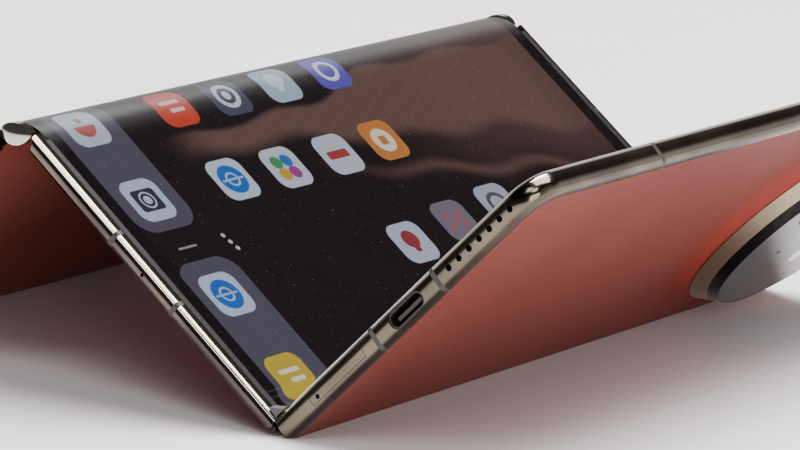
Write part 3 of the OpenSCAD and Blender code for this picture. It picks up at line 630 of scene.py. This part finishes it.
def lensGlass(name):
    look = lensLook
    mat, tree = newMaterial(name)
    point = objectPoint(tree)
    bloom = noise(point, look["bloomScale"])
    dust = noise(point, look["dustScale"], 1)
    tint = mixColour(bloom.ramp(0.35, 0.7), look["blue"], look["plum"])
    tint = mixColour(dust.ramp(0.72, 0.8) * 0.4, tint, look["dust"])
    rough = look["rough"] + dust.ramp(0.7, 0.8) * 0.1
    return finishMaterial(mat, tree, {"Base Color": tint, "Roughness": rough, "Metallic": look["metallic"],
                                      "Coat Weight": 1.0, "Coat Roughness": look["coatRough"],
                                      "IOR": look["ior"]})


flashLook = dict(colour=srgb(236, 224, 176), light=srgb(248, 240, 214), scale=1800, rough=0.25,
                 coatRough=0.05, bump=(0.3, 0.00003))


def flashGlass(name):
    look = flashLook
    mat, tree = newMaterial(name)
    ripple = noise(objectPoint(tree), look["scale"], 1)
    return finishMaterial(mat, tree, {"Base Color": mixColour(ripple, look["colour"], look["light"]),
                                      "Roughness": look["rough"], "Coat Weight": 1.0,
                                      "Coat Roughness": look["coatRough"]}, ripple, *look["bump"])


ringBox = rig.box("camera_glass")
ringMiddle = (Vector(ringBox[0]) + Vector(ringBox[1])) / 2
ringU, ringY = (ringMiddle - camPlace.origin).dot(camPlace.across) / mm, ringMiddle.y / mm
print("camera ring at", round(ringU, 2), round(ringY, 2))

# the middle panel's rail takes the shaded colour: a darker painted-shade copy of the dull champagne
midMetal = champagneMetal("midMetal", midPlace, phoneLook["thin"], metalLook["shaded"])
leftMetal = champagneMetal("leftMetal", leftPlace, phoneLook["thin"], metalLook["dull"])
camMetal = champagneMetal("camMetal", camPlace, phoneLook["thick"], metalLook["dull"])
ringMetal = polishedMetal("ringMetal", srgb(160, 146, 122), 0.2)
capMetal = polishedMetal("capMetal", srgb(206, 198, 184), 0.09, 0.12)
steel = polishedMetal("hingeSteel", srgb(176, 178, 182), 0.28)
spineMetal = darkMetal("spineMetal")
bevelBlack = darkMetal("bevelBlack", srgb(22, 19, 20), 0.16)
portMetal = darkMetal("portMetal", srgb(58, 53, 50), 0.34)
bezel = softBezel("bezelRubber")
seams = plainPlastic("seamResin", srgb(54, 48, 43), 0.45)
seal = plainPlastic("sealRubber", srgb(80, 78, 80), 0.55)
blackPlastic = plainPlastic("blackPlastic", srgb(30, 30, 32), 0.5)
batteryWrap = plainPlastic("batteryWrap", srgb(52, 52, 56), 0.5)
boardResin = plainPlastic("boardResin", srgb(24, 74, 52), 0.45)
coverEnd = -sheetMid - phoneLook["leftWidth"] + phoneLook["rim"] + screenLook["sideBorder"]
camEnd = sheetCam + phoneLook["camWidth"] - phoneLook["rim"] - screenLook["sideBorder"]
screenMiddle = screenMaterial("screenMiddle", midPlace, sheetMid, 1, 4.0, 72.0)
screenCover = screenMaterial("screenCover", leftPlace, -sheetMid, -1, -80.0, -4.0, [(coverEnd, 1)])
screenCamera = screenMaterial("screenCamera", camPlace, sheetCam, 1, 76.0, 160.0, [(camEnd, -1)])
for mat, names in (
        (midMetal, ("mid_frame",)),
        (leftMetal, ("left_frame",)),
        (camMetal, ("cam_frame", "power_key", "volume_key", "sim_tray")),
        (ringMetal, ("camera_ring",)),
        (bevelBlack, ("camera_trim",)),
        (capMetal, ("near_end_cap", "far_end_cap")),
        (steel, ("hinge_pins", "mid_hinge_arms", "cam_hinge_arms")),
        (portMetal, ("usb_c_port",)),
        (spineMetal, ("link_a", "link_b", "outer_spine", "inner_spine")),
        (bezel, ("mid_bezel", "left_bezel", "cam_bezel")),
        (seams, ("mid_seams", "left_seams", "cam_seams")),
        (seal, ("near_seal", "far_seal")),
        (blackPlastic, ("loudspeaker", "earpiece")),
        (batteryWrap, ("mid_battery", "left_battery", "cam_battery")),
        (boardResin, ("main_board",)),
        (greyGlass("cameraGlass"), ("camera_glass",)),
        (flashGlass("flashGlass"), ("flash_led",)),
        (lensGlass("mainLens"), ("main_camera",)),
        (lensGlass("wideLens"), ("wide_camera",)),
        (lensGlass("teleLens"), ("tele_camera",)),
        (lensGlass("selfieLens"), ("selfie_camera",)),
        (coralLeather("midLeather", midPlace), ("mid_back",)),
        (coralLeather("leftLeather", leftPlace), ("left_back",)),
        (coralLeather("camLeather", camPlace, ringU, ringY), ("cam_back",)),
        (screenMiddle, ("display_middle",)),
        (screenCover, ("display_cover",)),
        (screenCamera, ("display_camera",))):
    for name in names:
        paintNode(name, mat)
print("finishes done")


def sheetPiece(name, bend, start, end, halfY, steps, bodies, mat, stands, uvStart=0.0):
    bm = bmesh.new()                           # a flat strip of sheet, given its thickness and then bent
    bmesh.ops.create_grid(bm, x_segments=steps, y_segments=1, size=0.5)
    bmesh.ops.scale(bm, vec=(end - start, 2 * halfY, 1), verts=bm.verts)
    bmesh.ops.translate(bm, vec=((start + end) / 2, 0, 0), verts=bm.verts)
    bmesh.ops.solidify(bm, geom=list(bm.faces), thickness=sheetLook["thick"])
    uv = bm.loops.layers.uv.new("sheet")
    span = sheetLook["uvSpan"]
    for face in bm.faces:
        face.smooth = True
        for loop in face.loops:
            loop[uv].uv = ((loop.vert.co.x + uvStart) / span, loop.vert.co.y / span)
    top = max(vert.co.z for vert in bm.verts)
    for vert in bm.verts:
        vert.co = bend(vert.co.x, top - vert.co.z, vert.co.y)
    bmesh.ops.recalc_face_normals(bm, faces=list(bm.faces))
    for edge in bm.edges:
        edge.smooth = edge.calc_face_angle(0) < sheetLook["sharp"]
    mesh = bpy.data.meshes.new(name)
    bm.to_mesh(mesh)
    bm.free()
    mesh.materials.append(mat)
    thing = bpy.data.objects.new(name, mesh)
    bpy.context.scene.collection.objects.link(thing)
    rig.blend(thing, bodies[0], bodies[1], bend(start, 0, 0), bend(end, 0, 0))
    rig.replaces(thing, stands)
    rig.slot(thing, "display_sheet")


screenBend = screenMaterial("screenRidge", lo=-8.0, hi=8.5)
screenValley = screenMaterial("screenValley", lo=60.0, hi=90.0)
halfTurn = math.radians(linkTurn)
wrapR = linkP / 2 / math.tan(halfTurn / 2)
ridgeSpan = 2 * linkP


def ridgePoint(s, depth, y):                   # an arc that touches both panels
    a = s / ridgeSpan * 2 * halfTurn
    r = wrapR - depth
    return outerPlace.at(r * math.sin(a), y, r * math.cos(a) - wrapR)


ridgeRows = [(ridgeSpan, linkP, ("middle_panel", "link_a")), (linkP, 0.0, ("link_a", "outer_spine")),
             (0.0, -linkP, ("outer_spine", "link_b")), (-linkP, -ridgeSpan, ("link_b", "left_panel"))]
for k, (s0, s1, bodies) in enumerate(ridgeRows):
    sheetPiece(f"ridgeSheet{k + 1}", ridgePoint, s0, s1, sheetLook["ridgeHalf"], sheetLook["ridgeSteps"],
               bodies, screenBend, "outer_bend")


def valleyBend(side):                          # the sheet turns about the pin, ever more towards the panel
    reach, turn = sheetLook["valleyReach"], math.radians(wingTurn)
    pin = Vector((side * pinX, -pinZ))

    def turned(x, h, share):
        dx, dh, t = x - pin.x, h - pin.y, side * share * turn
        ct, st = math.cos(t), math.sin(t)
        return Vector((pin.x + dx * ct - dh * st, pin.y + dh * ct + dx * st))

    end = turned(side * reach, 0.0, 1.0)

    def point(s, depth, y):                    # settles where the share fits the place that it leads to
        share = abs(s) / reach
        for _ in range(sheetLook["rounds"]):
            p = turned(s, -depth, share * share * (3 - 2 * share))
            share = min(max(p.dot(end) / end.length_squared, 0.0), 1.0)
        p = turned(s, -depth, share * share * (3 - 2 * share))
        return spinePlace.at(p.x, y, p.y)

    return point


for name, side, panel in (("valleySheetMid", -1, "middle_panel"), ("valleySheetCam", 1, "camera_panel")):
    sheetPiece(name, valleyBend(side), 0.0, side * sheetLook["valleyReach"], sheetLook["valleyHalf"],
               sheetLook["valleySteps"], ("inner_spine", panel), screenValley, "inner_bend", sheetCam)
print("display sheet done")


floorLook = dict(half=6.0,                     # half its width, in metres
                 colour=srgb(243, 240, 242), shade=srgb(239, 236, 238), grainScale=900, cloudScale=9,
                 rough=0.6, specular=0.3, bump=(0.08, 0.0001))


def makeFloor():
    look = floorLook
    bm = bmesh.new()
    bmesh.ops.create_grid(bm, x_segments=1, y_segments=1, size=look["half"])
    mesh = bpy.data.meshes.new("floor")
    bm.to_mesh(mesh)
    bm.free()
    floor = bpy.data.objects.new("floor", mesh)
    bpy.context.scene.collection.objects.link(floor)
    mat, tree = newMaterial("paleTable")
    point = objectPoint(tree)
    grain = noise(point, look["grainScale"], 3)
    cloud = noise(point, look["cloudScale"])
    colour = mixColour(cloud.ramp(0.3, 0.7), look["colour"], look["shade"])
    finishMaterial(mat, tree, {"Base Color": colour, "Roughness": look["rough"] + (grain - 0.5) * 0.1,
                               "Specular IOR Level": look["specular"]}, grain, *look["bump"])
    mesh.materials.append(mat)
    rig.stage(floor)


lampRows = [                                   # name, place, target and width in metres, power in watts
    ("overhead", (0.1, 0.3, 1.25), (0.0, 0.05, 0.0), 1.0, 38.0),
    ("frontBoxLeft", (0.16, -0.62, 0.92), (0.0, -0.08, 0.03), 0.32, 2.0),
    ("frontBoxRight", (0.56, -0.56, 0.86), (0.0, -0.08, 0.03), 0.32, 2.4),
    ("farBox", (-0.7, 1.3, 2.3), (-0.4, 1.1, 0.0), 1.2, 68.0),
    ("sideFill", (1.3, 0.1, 0.5), (0.15, -0.05, 0.0), 1.0, 1.0),
    ("lowFill", (1.05, -0.85, 0.24), (0.16, -0.14, 0.0), 0.7, 9.0)]


def addLight(name, spot, target, size, power):
    data = bpy.data.lights.new(name, "AREA")
    data.shape = "RECTANGLE"
    data.size = data.size_y = size
    data.energy = power
    lamp = bpy.data.objects.new(name, data)
    lamp.location = spot
    lamp.rotation_mode = "QUATERNION"
    lamp.rotation_quaternion = (Vector(target) - Vector(spot)).to_track_quat("-Z", "Y")
    bpy.context.scene.collection.objects.link(lamp)


# a bright wall behind the table, a dim room on the viewer's side; heights are sines of the angle upwards
studioLook = dict(wall=srgb(228, 226, 229), shade=srgb(62, 52, 50), zenith=srgb(40, 37, 38), strength=1.55,
                  wallTop=(0.26, 0.5, 1.0, 0.0), ceiling=(0.5, 0.95), behind=(0.1, 0.99, 0.0), side=0.4,
                  room=0.06)


def makeWorld():
    look = studioLook
    world = bpy.data.worlds.new("studio")
    bpy.context.scene.world = world
    world.use_nodes = True
    tree = world.node_tree
    tree.nodes.clear()
    ray = addNode(tree, "ShaderNodeTexCoord", None, None, "Generated")
    height = addNode(tree, "ShaderNodeSeparateXYZ", None, {0: ray}, 2)
    behind = alongAxis(ray, look["behind"]).ramp(-look["side"], look["side"], look["room"], 1.0)
    above = mixColour(height.ramp(*look["ceiling"]), look["shade"], look["zenith"])
    colour = mixColour(height.ramp(*look["wallTop"]), above, look["wall"])
    colour = mixColour(behind, (0, 0, 0), colour)
    back = addNode(tree, "ShaderNodeBackground", None, {"Color": colour, "Strength": look["strength"]})
    out = tree.nodes.new("ShaderNodeOutputWorld")
    tree.links.new(back.socket, out.inputs["Surface"])


# spot in metres, yaw and pitch in degrees, focal length in pixels of a picture 800 wide
cameraLook = dict(spot=(0.52575, -0.73247, 0.203), yaw=35.5951, pitch=11.3806, focal=4819.35, width=800,
                  sensor=36.0, near=0.01, far=30.0)


def makeCamera():
    look = cameraLook
    data = bpy.data.cameras.new("photoCamera")
    data.sensor_width = look["sensor"]
    data.lens = look["sensor"] * look["focal"] / look["width"]
    data.clip_start, data.clip_end = look["near"], look["far"]
    cam = bpy.data.objects.new("photoCamera", data)
    yaw, pitch = math.radians(look["yaw"]), math.radians(look["pitch"])
    aim = Vector((-math.sin(yaw) * math.cos(pitch), math.cos(yaw) * math.cos(pitch), -math.sin(pitch)))
    cam.location = look["spot"]
    cam.rotation_mode = "QUATERNION"
    cam.rotation_quaternion = aim.to_track_quat("-Z", "Y")
    bpy.context.scene.collection.objects.link(cam)
    bpy.context.scene.camera = cam


makeFloor()
makeWorld()
for row in lampRows:
    addLight(*row)
makeCamera()
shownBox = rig.bounds()
json.dump({"cad": [list(v) for v in cadBox], "visual": [list(v) for v in shownBox]}, open("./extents.json", "w"))
print("scene ready")
